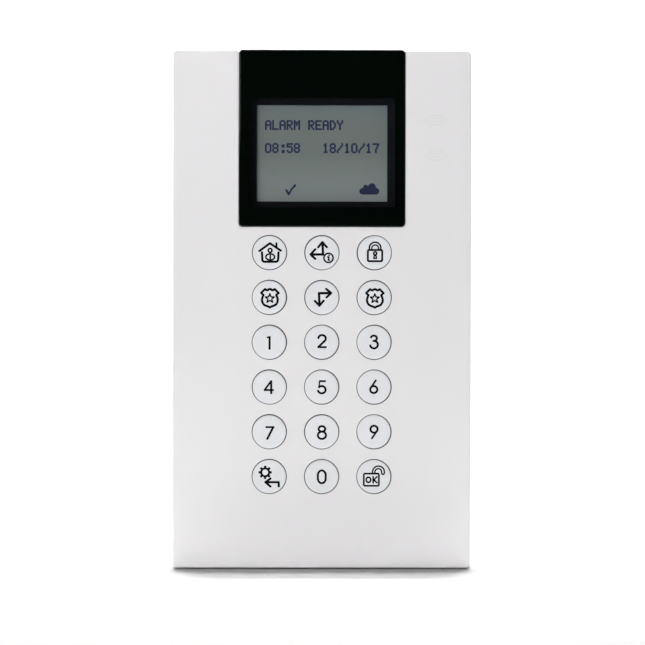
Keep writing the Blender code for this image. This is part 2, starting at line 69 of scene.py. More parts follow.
def to_object(bm, name):
    mesh = bpy.data.meshes.new(name)
    bmesh.ops.recalc_face_normals(bm, faces=bm.faces)
    bm.to_mesh(mesh)
    bm.free()
    piece = bpy.data.objects.new(name, mesh)
    bpy.context.scene.collection.objects.link(piece)
    return piece


def add_box(bm, lo, hi):
    verts = bmesh.ops.create_cube(bm, size=1.0)["verts"]
    lo, hi = Vector(lo), Vector(hi)
    bmesh.ops.scale(bm, vec=hi - lo, verts=verts)
    bmesh.ops.translate(bm, vec=(lo + hi) / 2, verts=verts)


def bevel(bm, edges, radius, steps):
    bmesh.ops.bevel(bm, geom=list(edges), offset=radius, segments=steps, profile=0.5,
                    affect="EDGES", clamp_overlap=True)


def block(name, lo, hi, corner=0.0, front=0.0, steps=8):
    """A box whose front-to-back corners and front edge can be rounded."""
    bm = bmesh.new()
    add_box(bm, lo, hi)
    if corner:
        bevel(bm, [e for e in bm.edges if abs(e.verts[0].co.y - e.verts[1].co.y) > TINY], corner, steps)
    if front:
        bevel(bm, [e for e in bm.edges if all(abs(v.co.y - lo[1]) < TINY for v in e.verts)], front, steps)
    return to_object(bm, name)


def pegs(name, centres, y, radius, steps=ROUND):
    """Round pegs from y[0] to y[1] at the centres (x, z)."""
    bm = bmesh.new()
    for x, z in centres:
        place = Matrix.Translation((x, sum(y) / 2, z)) @ Matrix.Rotation(math.pi / 2, 4, "X")
        bmesh.ops.create_cone(bm, cap_ends=True, segments=steps, radius1=radius, radius2=radius,
                              depth=y[1] - y[0], matrix=place)
    return to_object(bm, name)


def combine(piece, tool, operation):
    """Cuts tool out of piece, or joins it on, and removes tool."""
    step = piece.modifiers.new("combine", "BOOLEAN")
    step.operation = operation
    step.solver = "EXACT"
    step.object = tool
    graph = bpy.context.evaluated_depsgraph_get()
    mesh = bpy.data.meshes.new_from_object(piece.evaluated_get(graph))
    piece.modifiers.clear()
    piece.data = mesh
    bpy.data.objects.remove(tool, do_unlink=True)


def cut(piece, tool):
    combine(piece, tool, "DIFFERENCE")


def join(piece, tool):
    combine(piece, tool, "UNION")


def soften(piece, radius, steps, where=None):
    """Rounds the piece's sharp edges, or only those that where(edge) picks."""
    bm = bmesh.new()
    bm.from_mesh(piece.data)
    bmesh.ops.remove_doubles(bm, verts=bm.verts, dist=0.1 * TINY)
    bmesh.ops.dissolve_limit(bm, angle_limit=math.radians(0.5), verts=bm.verts, edges=bm.edges)
    sharp = [e for e in bm.edges if len(e.link_faces) == 2
             and e.calc_face_angle(0.0) > SHARP_EDGE and (where is None or where(e))]
    bevel(bm, sharp, radius, steps)
    bm.to_mesh(piece.data)
    bm.free()


def shade(piece):
    """Smooth shading that keeps flat faces flat."""
    piece.data.shade_smooth()
    piece.data.set_sharp_from_angle(angle=SMOOTH_UP_TO)
    normals = piece.modifiers.new("normals", "WEIGHTED_NORMAL")
    normals.keep_sharp = True
    normals.weight = 80


def finish_piece(piece, body, material, slot, *nodes):
    """Gives a piece its material and its body, and hides the CAD nodes that it stands for."""
    piece.data.materials.clear()
    piece.data.materials.append(material)
    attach(piece, body)
    if nodes:
        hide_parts(*nodes)


def refined(node, radius):
    """A copy of a CAD node with its sharp edges rounded."""
    piece = bpy.data.objects.new(f"{node}_finished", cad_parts[node].data.copy())
    bpy.context.scene.collection.objects.link(piece)
    soften(piece, radius, 2)
    shade(piece)
    return piece


def turned(name, profile, place, steps=ROUND):
    """A solid of revolution about its local Z: (radius, height) pairs from the top to the bottom."""
    bm = bmesh.new()
    rings = []
    angles = [2 * math.pi * i / steps for i in range(steps)]
    for radius, height in profile:
        if radius < TINY:
            rings.append([bm.verts.new((0, 0, height))])
            continue
        rings.append([bm.verts.new((radius * math.cos(a), radius * math.sin(a), height)) for a in angles])
    for upper, lower in zip(rings, rings[1:]):
        for i in range(steps):
            j = (i + 1) % steps
            corners = [upper[i % len(upper)], lower[i % len(lower)],
                       lower[j % len(lower)], upper[j % len(upper)]]
            bm.faces.new(list(dict.fromkeys(corners)))
    bmesh.ops.transform(bm, matrix=place, verts=bm.verts)
    return to_object(bm, name)


def fillet(centre, radius):
    """Profile points round a front corner, from the flat front to the side."""
    return arc(centre, (radius, radius), 90, 0, 5)


# ---------------------------------------------------------------- drawing in the plane

def arc(centre, radii, start, end, count=24):
    """Points along an ellipse's arc, in degrees anticlockwise from the right."""
    angles = [math.radians(start + (end - start) * i / count) for i in range(count + 1)]
    return [(centre[0] + radii[0] * math.cos(a), centre[1] + radii[1] * math.sin(a)) for a in angles]


def disc(centre, radius, count=20):
    return arc(centre, (radius, radius), 0, 360 - 360 / count, count - 1)


def offsets(points, width, closed):
    """Points half a width to each side of a line, mitred at its corners."""
    sides = []
    count = len(points)
    for i, point in enumerate(points):
        before = points[i - 1] if i or closed else None
        after = points[(i + 1) % count] if i < count - 1 or closed else None
        ways = []
        if before is not None:
            ways.append((Vector(point) - Vector(before)).normalized())
        if after is not None:
            ways.append((Vector(after) - Vector(point)).normalized())
        along = sum(ways, Vector((0, 0))).normalized()
        across = Vector((-along.y, along.x)) * width / 2 / max(0.5, along.dot(ways[0]))
        sides.append((Vector(point) + across, Vector(point) - across))
    return sides


def stroke(points, width, closed=False, round_ends=True):
    """A smooth line of one width, as one polygon for each of its segments and a disc at each end."""
    sides = offsets(points, width, closed)
    pairs = list(zip(sides, sides[1:] + sides[:1] if closed else sides[1:]))
    polygons = [[a[0], a[1], b[1], b[0]] for a, b in pairs]
    if round_ends and not closed:
        polygons += [disc(points[0], width / 2), disc(points[-1], width / 2)]
    return polygons


def lines(points, width, closed=False):
    """Straight lines from point to point, with round ends and joints."""
    ends = points[1:] + points[:1] if closed else points[1:]
    return [polygon for a, b in zip(points, ends) for polygon in stroke([a, b], width)]


def ring(centre, radii, width):
    return stroke(arc(centre, radii, 0, 345, 23), width, closed=True)


def rounded_rectangle(lo, hi, radius, width):
    """The outline of a rectangle with rounded corners, as a closed line."""
    x0, y0, x1, y1 = lo[0] + radius, lo[1] + radius, hi[0] - radius, hi[1] - radius
    points = []
    for centre, start in (((x1, y0), 270), ((x1, y1), 0), ((x0, y1), 90), ((x0, y0), 180)):
        points += arc(centre, (radius, radius), start, start + 90, 5)
    return stroke(points, width, closed=True)


def signed_area(polygon):
    ahead = polygon[1:] + polygon[:1]
    return sum(a[0] * b[1] - b[0] * a[1] for a, b in zip(polygon, ahead)) / 2


def printed(name, polygons, centre, y, thickness):
    """The union of millimetre polygons as one thin solid that faces -Y, its front face at y."""
    verts, faces = [], []
    for polygon in polygons:
        points = list(polygon) if signed_area(list(polygon)) > 0 else list(reversed(polygon))
        faces.append(list(range(len(verts), len(verts) + len(points))))
        verts += [Vector((p[0], p[1])) for p in points]
    flat, _, regions, _, _, sources = delaunay_2d_cdt(verts, [], faces, 1, 1e-5)
    bm = bmesh.new()
    corners = [bm.verts.new((centre[0] + p.x * MM, y, centre[1] + p.y * MM)) for p in flat]
    for region, source in zip(regions, sources):
        if source and len(set(region)) == len(region):
            bm.faces.new([corners[i] for i in region])
    bmesh.ops.delete(bm, geom=[v for v in bm.verts if not v.link_faces], context="VERTS")
    bmesh.ops.dissolve_limit(bm, angle_limit=0.01, verts=bm.verts, edges=bm.edges)
    front = list(bm.faces)
    back = bmesh.ops.extrude_face_region(bm, geom=front, use_keep_orig=True)["geom"]
    moved = [v for v in back if isinstance(v, bmesh.types.BMVert)]
    bmesh.ops.translate(bm, vec=(0, thickness, 0), verts=moved)
    return to_object(bm, name)


# ---------------------------------------------------------------- materials

def new_material(name, colour, roughness, metallic=0.0):
    material = bpy.data.materials.new(name)
    material.use_nodes = True
    shader = material.node_tree.nodes["Principled BSDF"]
    shader.inputs["Base Color"].default_value = (*colour, 1.0)
    shader.inputs["Roughness"].default_value = roughness
    shader.inputs["Metallic"].default_value = metallic
    return material, shader


class Weave:
    """Short calls for the node tree of one material."""

    def __init__(self, material, shader):
        self.tree = material.node_tree
        self.shader = shader
        self.place = self.node("ShaderNodeTexCoord").outputs["Object"]

    def node(self, kind, **values):
        made = self.tree.nodes.new(kind)
        for name, value in values.items():
            setattr(made, name, value)
        return made

    def link(self, out, socket):
        self.tree.links.new(out, socket)

    def noise(self, size, detail=2.0, stretch=None):
        """Noise whose features are about size metres across."""
        made = self.node("ShaderNodeTexNoise")
        made.inputs["Scale"].default_value = 1.0 / size
        made.inputs["Detail"].default_value = detail
        place = self.place
        if stretch:
            mapping = self.node("ShaderNodeMapping")
            mapping.inputs["Scale"].default_value = stretch
            self.link(place, mapping.inputs["Vector"])
            place = mapping.outputs["Vector"]
        self.link(place, made.inputs["Vector"])
        return made.outputs["Fac"]

    def spread(self, factor, low, high):
        """Maps the middle of a noise's range to low and high."""
        made = self.node("ShaderNodeMapRange")
        for socket, value in (("From Min", 0.3), ("From Max", 0.7), ("To Min", low), ("To Max", high)):
            made.inputs[socket].default_value = value
        self.link(factor, made.inputs["Value"])
        return made.outputs["Result"]

    def ramp(self, factor, stops):
        made = self.node("ShaderNodeValToRGB")
        elements = made.color_ramp.elements
        while len(elements) < len(stops):
            elements.new(0.5)
        for element, (position, colour) in zip(elements, stops):
            element.position = position
            element.color = (*colour, 1.0)
        self.link(factor, made.inputs["Fac"])
        return made.outputs["Color"]

    def bump(self, factor, height):
        """Bumps as high as height, in metres, where the factor is 1."""
        made = self.node("ShaderNodeBump")
        made.inputs["Strength"].default_value = 1.0
        made.inputs["Distance"].default_value = height
        self.link(factor, made.inputs["Height"])
        self.link(made.outputs["Normal"], self.shader.inputs["Normal"])


def tinted(colour, amount):
    return tuple(min(1.0, value * amount) for value in colour)


def moulded(name, colour, roughness, grain, height, vary, specular=0.5):
    """Moulded plastic: faint flow marks in its colour, and a fine grain, its sizes in millimetres."""
    material, shader = new_material(name, colour, roughness)
    shader.inputs["Specular IOR Level"].default_value = specular
    weave = Weave(material, shader)
    flow = weave.noise(30 * MM, 3.0, stretch=(1.0, 1.0, 0.5))
    weave.link(weave.ramp(flow, ((0.3, tinted(colour, 1 - vary)), (0.7, tinted(colour, 1 + vary)))),
               shader.inputs["Base Color"])
    fine = weave.noise(grain * MM, 2.0)
    weave.link(weave.spread(fine, roughness * 0.9, roughness * 1.1), shader.inputs["Roughness"])
    weave.bump(fine, height * MM)
    return material


def metal(name, colour, roughness, brushed=(1.0, 1.0, 12.0)):
    """Plated or drawn metal, with fine streaks and small marks."""
    material, shader = new_material(name, colour, roughness, 1.0)
    weave = Weave(material, shader)
    streaks = weave.noise(0.8 * MM, 4.0, stretch=brushed)
    weave.link(weave.ramp(streaks, ((0.3, tinted(colour, 0.85)), (0.7, tinted(colour, 1.08)))),
               shader.inputs["Base Color"])
    weave.link(weave.spread(streaks, roughness * 0.75, roughness * 1.3), shader.inputs["Roughness"])
    weave.bump(streaks, 0.006 * MM)
    return material


# colour, roughness, grain and its height in millimetres, variation of the colour, and specular level
MOULDED = {
    "gloss_case": ((0.775, 0.765, 0.772), 0.24, 0.9, 0.0015, 0.006),
    "symbol": ((0.69, 0.68, 0.685), 0.4, 0.5, 0.002, 0.01),
    "satin_case": ((0.76, 0.755, 0.76), 0.45, 0.35, 0.008, 0.015),
    "key_white": ((0.73, 0.738, 0.76), 0.3, 0.5, 0.002, 0.005),
    "black_foam": ((0.012, 0.012, 0.012), 0.85, 0.4, 0.08, 0.2),
    "black_metal": ((0.0048, 0.0054, 0.0088), 0.6, 0.25, 0.01, 0.1, 0.1),
    "light_guide": ((0.72, 0.76, 0.78), 0.4, 0.3, 0.01, 0.015),
    "black_rubber": ((0.03, 0.03, 0.03), 0.75, 0.15, 0.01, 0.3),
    "silicone": ((0.6, 0.61, 0.63), 0.62, 0.3, 0.01, 0.03),
    "black_plastic": ((0.02, 0.02, 0.022), 0.5, 0.2, 0.01, 0.1),
    "green_plastic": ((0.025, 0.17, 0.07), 0.42, 0.3, 0.006, 0.05),
    "grey_plastic": ((0.5, 0.5, 0.51), 0.4, 0.3, 0.006, 0.03),
}
# painted shade in the display's glass: its colour by height, from 0 at its bottom to 1 at its top, darker
# towards the top where the bezel and lens overhang it and lighter at the bottom
DISPLAY_SHADE_STOPS = ((0.0, (0.45, 0.505, 0.505)), (0.5, (0.275, 0.318, 0.304)), (0.8, (0.265, 0.305, 0.295)),
                 (1.0, (0.2, 0.245, 0.285)))


def lens_material():
    """The lens where it is printed black behind: polished, with a faint haze."""
    material, shader = new_material("lens_black", (0.0004, 0.0018, 0.001), 0.05)
    weave = Weave(material, shader)
    haze = weave.noise(8 * MM, 3.0)
    weave.link(weave.spread(haze, 0.04, 0.06), shader.inputs["Roughness"])
    weave.link(weave.ramp(haze, ((0.3, (0.0002, 0.0014, 0.0007)), (0.7, (0.0006, 0.0022, 0.0013)))),
               shader.inputs["Base Color"])
    weave.bump(haze, 0.004 * MM)
    return material


def window_material():
    """The lens where it isn't printed: faintly smoked and clear."""
    material, shader = new_material("lens_clear", (0.006, 0.007, 0.009), 0.06)
    shader.inputs["Alpha"].default_value = 0.16
    weave = Weave(material, shader)
    haze = weave.noise(8 * MM, 3.0)
    weave.link(weave.spread(haze, 0.05, 0.08), shader.inputs["Roughness"])
    return material


def display_material():
    """Grey-green liquid-crystal glass, with painted shade that darkens it towards the top and lightens it at
    the bottom.
    """
    material, shader = new_material("display_glass", (0.2, 0.23, 0.22), 0.35)
    weave = Weave(material, shader)
    split = weave.node("ShaderNodeSeparateXYZ")
    weave.link(weave.place, split.inputs["Vector"])
    lo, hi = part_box("lcd_glass")
    height = weave.node("ShaderNodeMapRange")
    height.inputs["From Min"].default_value = lo.z
    height.inputs["From Max"].default_value = hi.z
    weave.link(split.outputs["Z"], height.inputs["Value"])
    mottle = weave.node("ShaderNodeMixRGB", blend_type="MULTIPLY")
    mottle.inputs["Fac"].default_value = 1.0
    # painted shade: the glass's colour darkens with height towards its top
    weave.link(weave.ramp(height.outputs["Result"], DISPLAY_SHADE_STOPS), mottle.inputs["Color1"])
    weave.link(weave.ramp(weave.noise(0.6 * MM, 3.0), ((0.3, (0.95, 0.95, 0.95)), (0.7, (1.0, 1.0, 1.0)))),
               mottle.inputs["Color2"])
    weave.link(mottle.outputs["Color"], shader.inputs["Base Color"])
    fine = weave.noise(0.25 * MM, 2.0)
    weave.link(weave.spread(fine, 0.3, 0.42), shader.inputs["Roughness"])
    weave.bump(fine, 0.002 * MM)
    return material


def ink_material(name, colour):
    """Matt print with a fine speckle."""
    material, shader = new_material(name, colour, 0.5)
    shader.inputs["Specular IOR Level"].default_value = 0.06
    weave = Weave(material, shader)
    speckle = weave.noise(0.12 * MM, 2.0)
    weave.link(weave.ramp(speckle, ((0.3, tinted(colour, 0.8)), (0.7, tinted(colour, 1.25)))),
               shader.inputs["Base Color"])
    weave.bump(speckle, 0.003 * MM)
    return material


def board_material():
    """Green solder mask over copper tracks."""
    material, shader = new_material("board", (0.02, 0.12, 0.05), 0.35)
    weave = Weave(material, shader)
    tracks = weave.node("ShaderNodeTexBrick")
    tracks.inputs["Scale"].default_value = 160.0
    tracks.inputs["Mortar Size"].default_value = 0.03
    tracks.inputs["Color1"].default_value = (0.016, 0.105, 0.042, 1.0)
    tracks.inputs["Color2"].default_value = (0.02, 0.125, 0.052, 1.0)
    tracks.inputs["Mortar"].default_value = (0.035, 0.2, 0.075, 1.0)
    turn = weave.node("ShaderNodeMapping")
    turn.inputs["Rotation"].default_value = (math.pi / 2, 0.0, 0.0)
    weave.link(weave.place, turn.inputs["Vector"])
    weave.link(turn.outputs["Vector"], tracks.inputs["Vector"])
    weave.link(tracks.outputs["Color"], shader.inputs["Base Color"])
    weave.link(weave.spread(weave.noise(0.5 * MM, 2.0), 0.3, 0.42), shader.inputs["Roughness"])
    weave.bump(tracks.outputs["Fac"], 0.02 * MM)
    return material


MATERIALS = {name: moulded(name, *look) for name, look in MOULDED.items()}
MATERIALS["steel"] = metal("steel", (0.58, 0.58, 0.6), 0.28)
MATERIALS["copper"] = metal("copper", (0.62, 0.24, 0.1), 0.3, brushed=(1.0, 1.0, 1.0))
MATERIALS["lens"] = lens_material()
MATERIALS["lens_clear"] = window_material()
MATERIALS["display_glass"] = display_material()
MATERIALS["board"] = board_material()
MATERIALS["key_ink"] = ink_material("key_ink", (0.0015, 0.003, 0.003))
MATERIALS["display_ink"] = ink_material("display_ink", (0.043, 0.051, 0.118))


# ---------------------------------------------------------------- front cover

COVER_LO, COVER_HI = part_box("front_cover")
LENS_LO, LENS_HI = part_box("display_lens")
CASE_CORNER = 1.2 * MM
FACE_EDGE = 0.22 * MM                   # rounding of the face's outer edge
FACE_THICKNESS = 2.0 * MM
BOSS_BACK = -10.3 * MM                  # where the screw bosses meet the board
LENS_CLEARANCE = 0.15 * MM
LENS_CORNER = 1.1 * MM
LENS_THICKNESS = 1.6 * MM
LIP_THICKNESS = 1.2 * MM
WINDOW = (21.1 * MM, 15.75 * MM)        # half sizes of the clear window
OPENING = (21.6 * MM, 16.2 * MM)        # half sizes of the opening in the cover behind it
WINDOW_Z = 45.5 * MM
KEY_RADIUS = 4.87 * MM
KEY_HOLE_RADIUS = 5.12 * MM


def centre_of(node):
    lo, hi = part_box(node)
    return (lo.x + hi.x) / 2, (lo.z + hi.z) / 2


def key_centre(name):
    return centre_of(f"key_{name}")


def make_front_cover():
    """A shell with screw bosses behind its face, the lens recess, the window opening and the key holes."""
    front = COVER_LO.y
    cover = block("front_cover_shell", COVER_LO, COVER_HI, CASE_CORNER, FACE_EDGE, 8)
    inner = Vector((1.8 * MM, 0, 2.0 * MM))
    cavity_lo = COVER_LO + inner + Vector((0, FACE_THICKNESS, 0))
    cavity_hi = COVER_HI - inner + Vector((0, 1 * MM, 0))
    cut(cover, block("cavity", cavity_lo, cavity_hi))
    pad = 1.9 * MM
    join(cover, block("pad", (LENS_LO.x - pad, front + FACE_THICKNESS - TINY, LENS_LO.z - 1.2 * MM),
                      (LENS_HI.x + pad, front + 3.0 * MM, cavity_hi.z + TINY)))
    for screws, radius, hole in (("housing_screw", 2.9 * MM, 1.5 * MM), ("board_screw", 2.5 * MM, 1.3 * MM)):
        centres = [centre_of(f"{screws}_{number}") for number in range(1, 5)]
        join(cover, pegs("bosses", centres, (front + FACE_THICKNESS - 0.5 * MM, BOSS_BACK), radius, 48))
        cut(cover, pegs("bores", centres, (front + FACE_THICKNESS + 0.8 * MM, -9 * MM), hole, 32))
    cut_lens_recess(cover, front)
    cut(cover, block("opening", (-OPENING[0], front - 1 * MM, WINDOW_Z - OPENING[1]),
                     (OPENING[0], front + 4 * MM, WINDOW_Z + OPENING[1]), 0.5 * MM))
    centres = [key_centre(name) for name in KEY_LEGENDS]
    through_face = (front - 1 * MM, front + FACE_THICKNESS + 1 * MM)
    cut(cover, pegs("key_holes", centres, through_face, KEY_HOLE_RADIUS))
    soften(cover, 0.06 * MM, 3, where=lambda e: all(abs(v.co.y - front) < TINY for v in e.verts))
    shade(cover)
    finish_piece(cover, "case", MATERIALS["gloss_case"], "gloss_case", "front_cover")


def cut_lens_recess(cover, front):
    """The recess under the lens, and the notch where the lens wraps over the top edge."""
    side = LENS_HI.x + LENS_CLEARANCE
    beyond = 2 * MM
    floor = LENS_LO.y + LENS_THICKNESS + 0.4 * MM
    lip = LENS_HI.z - LIP_THICKNESS - LENS_CLEARANCE
    cut(cover, block("recess", (-side, front - beyond, LENS_LO.z - LENS_CLEARANCE),
                     (side, floor, COVER_HI.z + beyond), LENS_CORNER))
    cut(cover, block("notch", (-side, front - beyond, lip),
                     (side, LENS_HI.y + LENS_CLEARANCE, COVER_HI.z + beyond)))


def make_proximity_symbol():
    """Waves raised on the cover where a card is held: a fan of arcs above and one below."""
    apart, half_angle, width = 1.9, 49, 0.34
    polygons = []
    for radius in (1.95, 2.85, 3.75, 4.65):
        for height, middle in ((apart, 90), (-apart, 270)):
            wave = arc((0, height), (radius, radius), middle - half_angle, middle + half_angle)
            polygons += stroke(wave, width)
    top = COVER_LO.y - 0.14 * MM
    symbol = printed("proximity_symbol", polygons, (33.0 * MM, 49.9 * MM), top, 0.17 * MM)
    soften(symbol, 0.08 * MM, 3, where=lambda e: all(v.co.y < top + 0.01 * MM for v in e.verts))
    shade(symbol)
    finish_piece(symbol, "case", MATERIALS["symbol"], "gloss_case")


# ---------------------------------------------------------------- display

def make_lens():
    """The lens: printed black except for its clear window, with a lip over the case's top edge."""
    plate_back = LENS_LO.y + LENS_THICKNESS
    lens = block("lens_printed", LENS_LO, (LENS_HI.x, plate_back, LENS_HI.z), LENS_CORNER, 0.3 * MM, 6)
    shoulder = 1.15 * MM
    join(lens, block("lip", (LENS_LO.x + shoulder, plate_back - 0.5 * MM, LENS_HI.z - LIP_THICKNESS),
                     (LENS_HI.x - shoulder, LENS_HI.y, LENS_HI.z - 0.01 * MM)))
    lo = (-WINDOW[0], LENS_LO.y - 1 * MM, WINDOW_Z - WINDOW[1])
    hi = (WINDOW[0], plate_back + 1 * MM, WINDOW_Z + WINDOW[1])
    cut(lens, block("window", lo, hi, 0.3 * MM, steps=4))
    shade(lens)
    finish_piece(lens, "case", MATERIALS["lens"], "lens", "display_lens")
    margin = 0.01 * MM
    pane = block("lens_window", (lo[0] + margin, LENS_LO.y, lo[2] + margin),
                 (hi[0] - margin, LENS_LO.y + 0.8 * MM, hi[2] - margin), 0.3 * MM, steps=4)
    shade(pane)
    finish_piece(pane, "case", MATERIALS["lens_clear"], "lens")


DOTS = {
    "A": "01110 10001 10001 11111 10001 10001 10001", "D": "11100 10010 10001 10001 10001 10010 11100",
    "E": "11111 10000 10000 11110 10000 10000 11111", "L": "10000 10000 10000 10000 10000 10000 11111",
    "M": "10001 11011 10101 10101 10001 10001 10001", "R": "11110 10001 10001 11110 10100 10010 10001",
    "Y": "10001 10001 01010 00100 00100 00100 00100", "0": "01110 10001 10001 10001 10001 10001 01110",
    "1": "00100 01100 00100 00100 00100 00100 01110", "5": "11111 10000 11110 00001 00001 10001 01110",
    "7": "11111 00001 00010 00010 00100 00100 00100", "8": "01110 10001 10001 01110 10001 10001 01110",
    ":": "00000 00110 00110 00000 00000 00110 00110", "/": "00001 00001 00010 00100 01000 10000 10000",
}
DISPLAY_LINES = ((4.3, 0, "ALARM READY"), (11.0, 0, "08:58"), (11.0, 8, "18/10/17"))
CHARACTER_PITCH = 2.09
FIRST_COLUMN = 2.4
DOT = (0.336, 0.396)
DOT_SPREAD = (0.2, 0.13)


def character(letter, left, top):
    """A character of five by seven dots, in millimetres right of and below the view's corner."""
    for row, bits in enumerate(DOTS[letter].split()):
        for column, bit in enumerate(bits):
            if bit == "1":
                x, y = left + column * DOT[0], -(top + row * DOT[1])
                right, bottom = x + DOT[0] + DOT_SPREAD[0], y - DOT[1] - DOT_SPREAD[1]
                yield [(x, bottom), (right, bottom), (right, y), (x, y)]


def make_display():
    lo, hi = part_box("lcd_glass")
    glass = block("lcd_cell", lo, hi, 0.2 * MM, 0.15 * MM, 3)
    shade(glass)
    finish_piece(glass, "case", MATERIALS["display_glass"], "display_glass", "lcd_glass")
    polygons = []
    for top, column, text in DISPLAY_LINES:
        for place, letter in enumerate(text):
            if letter in DOTS:
                polygons += character(letter, FIRST_COLUMN + (column + place) * CHARACTER_PITCH, top)
    polygons += [[(x + 8.4, y - 26.1) for x, y in polygon] for polygon in tick()]
    polygons += [[(x + 29.9, y - 26.0) for x, y in polygon] for polygon in cloud()]
    view_corner = (-19.0 * MM, 59.4 * MM)
    ink = printed("lcd_segments", polygons, view_corner, lo.y - 0.015 * MM, 0.02 * MM)
    finish_piece(ink, "case", MATERIALS["display_ink"], "display_glass")


def tick():
    return (lines([(0.22, 1.4), (0.95, 0.22)], 0.62)
            + lines([(0.95, 0.22), (1.6, 1.45), (2.75, 2.9)], 0.54)
            + [[(2.65, 2.3), (3.1, 2.5), (2.95, 3.25), (2.3, 2.65)]])


def cloud():
    puffs = [disc(centre, radius, 32) for centre, radius in
             (((0.96, 1.02), 0.96), ((1.85, 2.2), 0.72), ((3.68, 2.22), 1.14), ((4.84, 1.04), 0.98))]
    return puffs + [[(0.96, 0.06), (4.84, 0.06), (4.5, 2.0), (1.4, 1.95)]]


# ---------------------------------------------------------------- keys

# stroke widths of the printed legends, in millimetres
DIGIT, BAR = 0.62, 0.56
THICK, MEDIUM, FINE = 0.72, 0.66, 0.48


def star(centre, outer, inner):
    return [(centre[0] + r * math.sin(math.pi * i / 5), centre[1] + r * math.cos(math.pi * i / 5))
            for i, r in enumerate([outer, inner] * 5)]


def house():
    walls = ([(-2.2, 0.05), (-2.1, -1.9)] + arc((-1.45, -2.02), (0.65, 0.65), 190, 270, 6)
             + arc((1.85, -2.0), (0.65, 0.65), 270, 350, 6) + [(2.5, -1.9), (2.6, 0.05)])
    roof = lines([(-2.95, 0.45), (0.1, 2.7), (3.25, 0.58)], MEDIUM)
    chimney = lines([(1.98, 2.72), (2.02, 1.6)], 0.58)
    person = (ring((0.17, 0.62), (0.54, 0.56), FINE) + ring((0.2, -1.27), (1.27, 0.9), FINE)
              + lines([(0.2, -0.8), (0.2, -1.95)], FINE))
    return roof + chimney + stroke(walls, MEDIUM) + person


def info():
    arrows = (lines([(0.1, 3.05), (0.26, -0.48), (-3.25, -0.5)], THICK)
              + lines([(-1.15, 1.6), (0.08, 3.1), (1.38, 1.62)], MEDIUM)
              + lines([(-2.0, 1.0), (-3.35, -0.5), (-1.98, -1.75)], MEDIUM))
    letter = lines([(1.62, -1.22), (1.98, -1.22), (1.82, -2.15), (2.14, -2.15)], 0.44)
    return arrows + ring((1.85, -1.48), (1.34, 1.34), FINE) + letter + [disc((2.0, -0.72), 0.24)]


def padlock():
    outer = [(-1.5, 0.75)] + arc((0.17, 1.35), (1.67, 1.65), 180, 0) + [(1.84, 0.75)]
    inner = [(-0.8, 0.8)] + arc((0.19, 1.25), (0.99, 0.95), 180, 0) + [(1.18, 0.8)]
    keyhole = ring((0.19, -0.24), (0.44, 0.44), FINE)
    keyhole += lines([(0.02, -0.7), (-0.22, -1.66), (0.6, -1.66), (0.36, -0.7)], 0.42)
    return (rounded_rectangle((-1.92, -2.5), (2.23, 0.75), 0.35, 0.58) + stroke(outer, 0.46)
            + stroke(inner, 0.4) + keyhole)


def shield():
    half = [(0.26, 2.38), (0.62, 2.1), (1.0, 2.12), (1.38, 2.42), (2.52, 1.3), (1.85, 0.68), (2.1, 0.1),
            (2.3, -0.6), (2.22, -1.3), (1.8, -2.05), (1.2, -2.4), (0.55, -2.6)]
    points = [(0.0, 2.42)] + half + [(0.0, -2.92)] + [(-x, y) for x, y in reversed(half)]
    return (lines([(x + 0.17, y) for x, y in points], MEDIUM, closed=True)
            + lines(star((0.16, -0.3), 1.38, 0.58), 0.42, closed=True))


def scroll():
    return (lines([(-0.74, -2.3), (-0.88, 1.28), (2.6, 1.34)], THICK)
            + lines([(1.2, 2.52), (2.65, 1.34), (1.3, 0.08)], MEDIUM)
            + lines([(-2.08, -0.95), (-0.74, -2.35), (0.48, -0.9)], MEDIUM))


def gear_and_return():
    centre = (-1.18, 1.26)
    teeth = []
    for turn in range(8):
        angle = math.pi * turn / 4
        ends = [(centre[0] + r * math.cos(angle), centre[1] + r * math.sin(angle)) for r in (1.25, 1.92)]
        teeth += stroke(ends, 0.7, round_ends=False)
    arrow = (lines([(-1.1, -1.6), (2.72, -1.6)], MEDIUM)
             + stroke([(2.72, -1.4), (2.8, -3.05)], MEDIUM, round_ends=False)
             + lines([(0.35, -0.55), (-1.1, -1.6), (0.35, -2.85)], MEDIUM))
    return ring(centre, (1.15, 1.15), 0.6) + teeth + arrow


def open_padlock():
    outer = ([(-0.33, 0.87)] + arc((1.37, 1.38), (1.7, 1.7), 180, 0)
             + [(3.05, 0.95), (2.88, 0.68), (2.48, 0.68)])
    inner = [(0.34, 0.87)] + arc((1.32, 1.34), (0.98, 0.98), 180, 0) + [(2.3, 0.95), (2.48, 0.68)]
    letters = ring((-1.55, -0.92), (0.66, 0.76), FINE) + lines([(-0.17, 0.0), (-0.17, -1.8)], FINE)
    letters += lines([(0.95, 0.02), (0.05, -0.94), (0.98, -1.8)], 0.45)
    return (rounded_rectangle((-2.88, -2.66), (1.5, 0.87), 0.35, 0.52) + stroke(outer, 0.44)
            + stroke(inner, 0.43) + letters)


def one():
    return (stroke([(0.1, -2.12), (0.1, 1.8)], DIGIT, round_ends=False)
            + lines([(-0.5, 1.4), (0.0, 1.6)], FINE))


def two():
    bowl = arc((0.1, 1.05), (1.07, 1.0), 172, -38)
    return (stroke(bowl, DIGIT) + lines([bowl[-1], (-0.95, -1.42)], DIGIT)
            + stroke([(-1.2, -1.46), (1.45, -1.46)], BAR, round_ends=False))


def three():
    return (stroke(arc((-0.05, 1.18), (0.88, 0.77), 160, -90), DIGIT)
            + stroke(arc((0.0, -0.68), (1.12, 1.08), 90, -168), DIGIT)
            + lines([(-0.3, 0.4), (0.0, 0.4)], 0.42))


def four():
    return (stroke([(0.53, 1.95), (0.53, -2.0)], DIGIT, round_ends=False)
            + lines([(0.48, 1.75), (-1.35, -0.82)], BAR)
            + stroke([(-1.6, -0.83), (1.3, -0.83)], BAR, round_ends=False))


